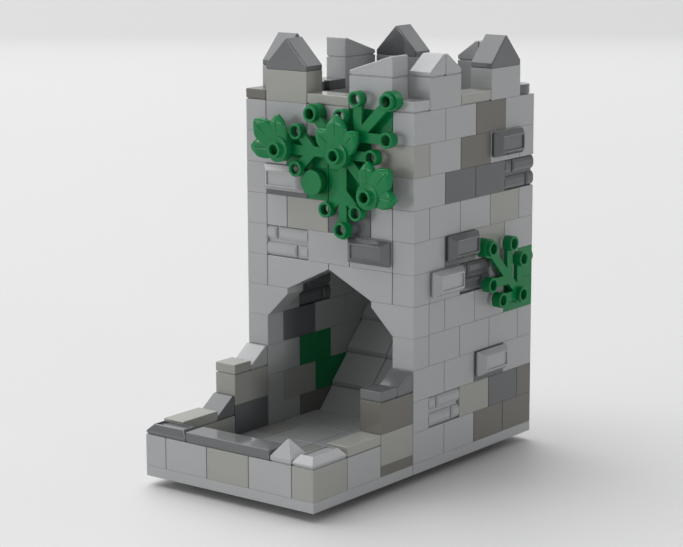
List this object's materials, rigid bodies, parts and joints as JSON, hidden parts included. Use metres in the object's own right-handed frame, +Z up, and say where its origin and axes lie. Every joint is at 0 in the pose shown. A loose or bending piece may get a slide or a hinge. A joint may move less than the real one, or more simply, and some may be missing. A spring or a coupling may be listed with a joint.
{
  "type": "dice tower",
  "caption": "Brick-built dice tower shaped as a ruined castle tower, with battlements, a pointed arch, a walled dice tray and turning leaf sprigs on climbing ivy.",
  "frame": {"origin": "centre of the footprint of the two base plates, on the underside of their rims", "axes": "+Z up, -Y towards the open front of the dice tray, +X to the right-hand wall as seen facing the tray"},
  "size_m": [0.072, 0.1167, 0.128],
  "materials": {
    "brown_grey_bricks": "glossy moulded plastic",
    "dark_grey_bricks": "glossy moulded plastic",
    "dark_grey_smooth": "glossy moulded plastic",
    "green_bricks": "glossy moulded plastic",
    "green_leaves": "glossy moulded plastic",
    "green_stems": "glossy moulded plastic",
    "light_grey_bricks": "glossy moulded plastic",
    "light_grey_smooth": "glossy moulded plastic",
    "warm_grey_bricks": "glossy moulded plastic",
    "warm_grey_smooth": "glossy moulded plastic"
  },
  "bodies": {
    "tower": {"arch_crowns": "light_grey_smooth", "arch_shoulders": "light_grey_smooth", "baffle_caps": "light_grey_smooth", "baffle_slopes": "light_grey_smooth", "brown_bricks": "brown_grey_bricks", "course_01_light_bricks": "light_grey_bricks", "course_02_light_bricks": "light_grey_bricks", "course_03_light_bricks": "light_grey_bricks", "course_04_light_bricks": "light_grey_bricks", "course_05_light_bricks": "light_grey_bricks", "course_06_light_bricks": "light_grey_bricks", "course_07_light_bricks": "light_grey_bricks", "course_08_light_bricks": "light_grey_bricks", "course_09_light_bricks": "light_grey_bricks", "course_10_light_bricks": "light_grey_bricks", "course_11_light_bricks": "light_grey_bricks", "dark_bricks": "dark_grey_bricks", "floor_tiles_light": "light_grey_smooth", "floor_tiles_warm": "warm_grey_smooth", "green_bricks": "green_bricks", "green_round_tile": "green_leaves", "ingots_dark": "dark_grey_smooth", "ingots_light": "light_grey_smooth", "ivy_back": "green_stems", "ivy_front": "green_stems", "ivy_side": "green_stems", "masonry_bricks_dark": "dark_grey_bricks", "masonry_bricks_light": "light_grey_bricks", "merlon_bricks_light": "light_grey_bricks", "merlon_roofs": "dark_grey_smooth", "merlon_small_slopes": "light_grey_smooth", "merlon_wedges": "light_grey_smooth", "parapet_round_tiles": "dark_grey_smooth", "parapet_tile_brown": "brown_grey_bricks", "parapet_tile_dark": "dark_grey_smooth", "parapet_tiles_light": "light_grey_smooth", "parapet_tiles_warm": "warm_grey_smooth", "ramp_step_1": "light_grey_smooth", "ramp_step_2": "light_grey_smooth", "ramp_step_3": "light_grey_smooth", "ramp_step_4": "light_grey_smooth", "ramp_support_bricks": "light_grey_bricks", "side_stud_bricks_dark": "dark_grey_bricks", "side_stud_bricks_green": "green_bricks", "side_stud_bricks_light": "light_grey_bricks", "tower_base_plate": "light_grey_bricks", "tray_base_plate": "light_grey_bricks", "tray_bricks_brown": "brown_grey_bricks", "tray_bricks_dark": "dark_grey_bricks", "tray_bricks_light": "light_grey_bricks", "tray_bricks_warm": "warm_grey_bricks", "tray_pyramid": "light_grey_smooth", "tray_small_slope_light": "light_grey_smooth", "tray_small_slopes_dark": "dark_grey_smooth", "tray_tiles_dark": "dark_grey_smooth", "tray_tiles_warm": "warm_grey_smooth", "warm_bricks": "warm_grey_bricks"},
    "sprig_left": {"leaf_sprig_left": "green_leaves"},
    "sprig_centre": {"leaf_sprig_centre": "green_leaves"},
    "sprig_right": {"leaf_sprig_right": "green_leaves"}
  },
  "joints": [
    {"name": "sprig_left_turn", "type": "hinge", "parent": "tower", "child": "sprig_left", "pos_m": [-0.01463, -0.0128, 0.0952], "axis": [0, -1, 0], "range_deg": [-25, 25]},
    {"name": "sprig_centre_turn", "type": "hinge", "parent": "tower", "child": "sprig_centre", "pos_m": [0.008, -0.0128, 0.0952], "axis": [0, -1, 0], "range_deg": [-25, 10]},
    {"name": "sprig_right_turn", "type": "hinge", "parent": "tower", "child": "sprig_right", "pos_m": [0.01931, -0.0128, 0.08389], "axis": [0, -1, 0], "range_deg": [-10, 25]}
  ]
}
